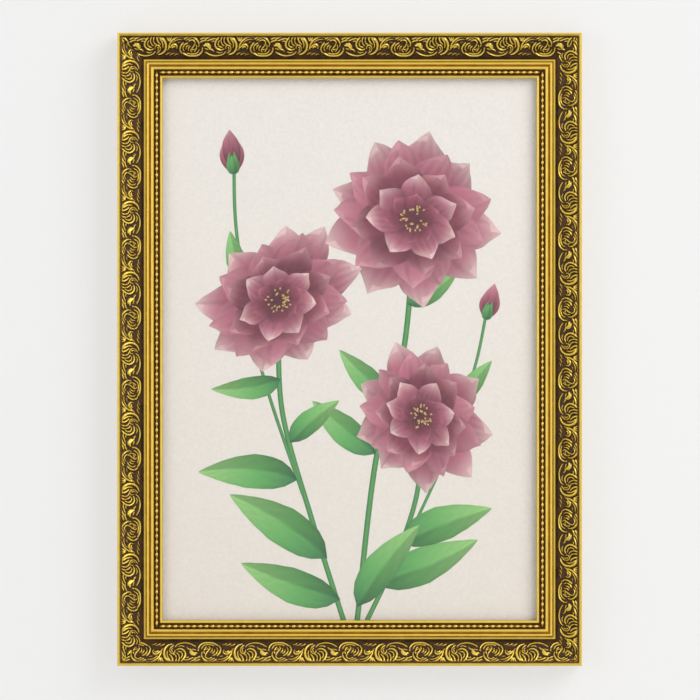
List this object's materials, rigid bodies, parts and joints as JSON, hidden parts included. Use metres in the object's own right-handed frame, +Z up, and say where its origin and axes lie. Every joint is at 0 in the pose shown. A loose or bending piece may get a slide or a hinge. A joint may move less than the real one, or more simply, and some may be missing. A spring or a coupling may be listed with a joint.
{
  "type": "picture frame",
  "caption": "Wall-hung gilded picture frame with a scroll-carved sloping moulding, pearl beading, glazed print, backing held by turn buttons, and strap hangers with rings.",
  "frame": {"origin": "where the wall hook bears, inside the top hanger's ring when it points up", "axes": "+X across the frame to the right seen from the front, +Y out of the back towards the wall, +Z up"},
  "size_m": [0.249, 0.0171, 0.339],
  "materials": {
    "gilded_wood": "gilded and patinated",
    "gilded_composition": "gilded, brown patina in the recesses",
    "gilded_pearls": "gilded",
    "picture_glass": "clear, polished",
    "print_paper": "matte print",
    "hardboard": "smooth pressed fibre",
    "steel_fixings": "zinc plated",
    "zinc_plated_steel": "zinc plated",
    "hanger_brass": "satin",
    "felt": "pressed felt"
  },
  "bodies": {
    "frame": {"rail_top": "gilded_wood", "rail_right": "gilded_wood", "rail_bottom": "gilded_wood", "rail_left": "gilded_wood", "ornament_top": "gilded_composition", "ornament_right": "gilded_composition", "ornament_bottom": "gilded_composition", "ornament_left": "gilded_composition", "pearl_strip_top": "gilded_pearls", "pearl_strip_right": "gilded_pearls", "pearl_strip_bottom": "gilded_pearls", "pearl_strip_left": "gilded_pearls", "v_nails": "steel_fixings", "glazing": "picture_glass", "art_print": "print_paper", "backing_board": "hardboard", "button_screws": "steel_fixings", "hanger_strap_top": "hanger_brass", "hanger_strap_right": "hanger_brass", "hanger_screws": "steel_fixings", "wall_pads": "felt"},
    "turn_button_top_left": {"turn_button_top_left": "zinc_plated_steel"},
    "turn_button_top_right": {"turn_button_top_right": "zinc_plated_steel"},
    "turn_button_right_upper": {"turn_button_right_upper": "zinc_plated_steel"},
    "turn_button_right_lower": {"turn_button_right_lower": "zinc_plated_steel"},
    "turn_button_bottom_right": {"turn_button_bottom_right": "zinc_plated_steel"},
    "turn_button_bottom_left": {"turn_button_bottom_left": "zinc_plated_steel"},
    "turn_button_left_lower": {"turn_button_left_lower": "zinc_plated_steel"},
    "turn_button_left_upper": {"turn_button_left_upper": "zinc_plated_steel"},
    "hanger_ring_top": {"hanger_ring_top": "hanger_brass"},
    "hanger_ring_right": {"hanger_ring_right": "hanger_brass"}
  },
  "joints": [
    {"name": "turn_top_left", "type": "hinge", "parent": "frame", "child": "turn_button_top_left", "pos_m": [-0.055, -0.00048, -0.0093], "axis": [0, 1, 0], "continuous": true},
    {"name": "turn_top_right", "type": "hinge", "parent": "frame", "child": "turn_button_top_right", "pos_m": [0.055, -0.00048, -0.0093], "axis": [0, 1, 0], "continuous": true},
    {"name": "turn_right_upper", "type": "hinge", "parent": "frame", "child": "turn_button_right_upper", "pos_m": [0.1135, -0.00048, -0.08805], "axis": [0, 1, 0], "continuous": true},
    {"name": "turn_right_lower", "type": "hinge", "parent": "frame", "child": "turn_button_right_lower", "pos_m": [0.1135, -0.00048, -0.24755], "axis": [0, 1, 0], "continuous": true},
    {"name": "turn_bottom_right", "type": "hinge", "parent": "frame", "child": "turn_button_bottom_right", "pos_m": [0.055, -0.00048, -0.3263], "axis": [0, 1, 0], "continuous": true},
    {"name": "turn_bottom_left", "type": "hinge", "parent": "frame", "child": "turn_button_bottom_left", "pos_m": [-0.055, -0.00048, -0.3263], "axis": [0, 1, 0], "continuous": true},
    {"name": "turn_left_lower", "type": "hinge", "parent": "frame", "child": "turn_button_left_lower", "pos_m": [-0.1135, -0.00048, -0.24755], "axis": [0, 1, 0], "continuous": true},
    {"name": "turn_left_upper", "type": "hinge", "parent": "frame", "child": "turn_button_left_upper", "pos_m": [-0.1135, -0.00048, -0.08805], "axis": [0, 1, 0], "continuous": true},
    {"name": "ring_swing_top", "type": "hinge", "parent": "frame", "child": "hanger_ring_top", "pos_m": [0, 0, -0.0073], "axis": [-1, 0, 0], "range_deg": [0, 180]},
    {"name": "ring_swing_right", "type": "hinge", "parent": "frame", "child": "hanger_ring_right", "pos_m": [0.1155, 0, -0.1678], "axis": [0, 0, 1], "range_deg": [0, 180]}
  ]
}
